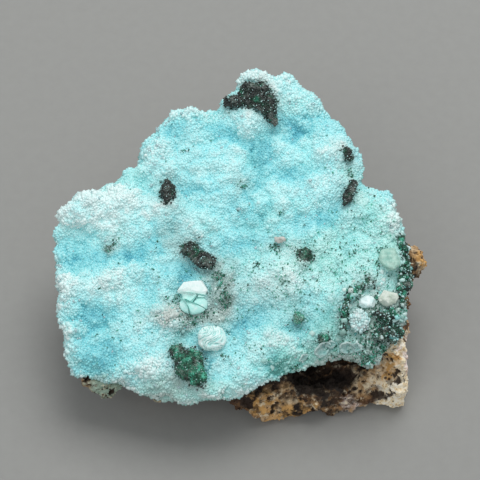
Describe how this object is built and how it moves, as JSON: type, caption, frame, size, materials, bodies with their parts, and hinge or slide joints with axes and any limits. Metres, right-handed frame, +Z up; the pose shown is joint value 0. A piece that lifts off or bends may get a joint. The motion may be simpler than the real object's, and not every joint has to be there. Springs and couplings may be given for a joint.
{
  "type": "mineral specimen",
  "caption": "Blue chrysocolla crust under sugary quartz with dark malachite tufts, on a block of brown gossan.",
  "frame": {"origin": "on the table, under the middle of the specimen's bounding box", "axes": "+Z up as it rests, +X along its longest extent to the right of the blue face, -Y towards the viewer, the way the blue face slopes down"},
  "size_m": [0.0814, 0.074, 0.037],
  "materials": {
    "chrysocolla": "sugary, sparkling crystals over a waxy blue crust",
    "gossan": "rough, earthy and porous",
    "malachite": "fine velvety crystals with a dull sheen",
    "nodule": "chalky"
  },
  "bodies": {
    "root": {"gossan_matrix": "gossan", "chrysocolla_crust": "chrysocolla", "malachite_cluster_top": "malachite", "malachite_tuft_left": "malachite", "malachite_tuft_middle": "malachite", "malachite_blade_upper": "malachite", "malachite_blade_lower": "malachite", "malachite_cluster_front": "malachite", "malachite_tuft_olive": "malachite", "malachite_tuft_green": "malachite", "malachite_tuft_rim": "malachite", "malachite_vein_right": "malachite", "malachite_cluster_right": "malachite", "malachite_band_edge": "malachite", "pale_nodule_round": "nodule", "pale_nodule_cracked": "nodule", "pale_nodule_cream": "nodule", "pale_nodule_white": "nodule", "pale_nodule_druse": "nodule", "pale_nodule_plate": "nodule", "pale_nodule_pebble": "nodule"}
  },
  "joints": []
}
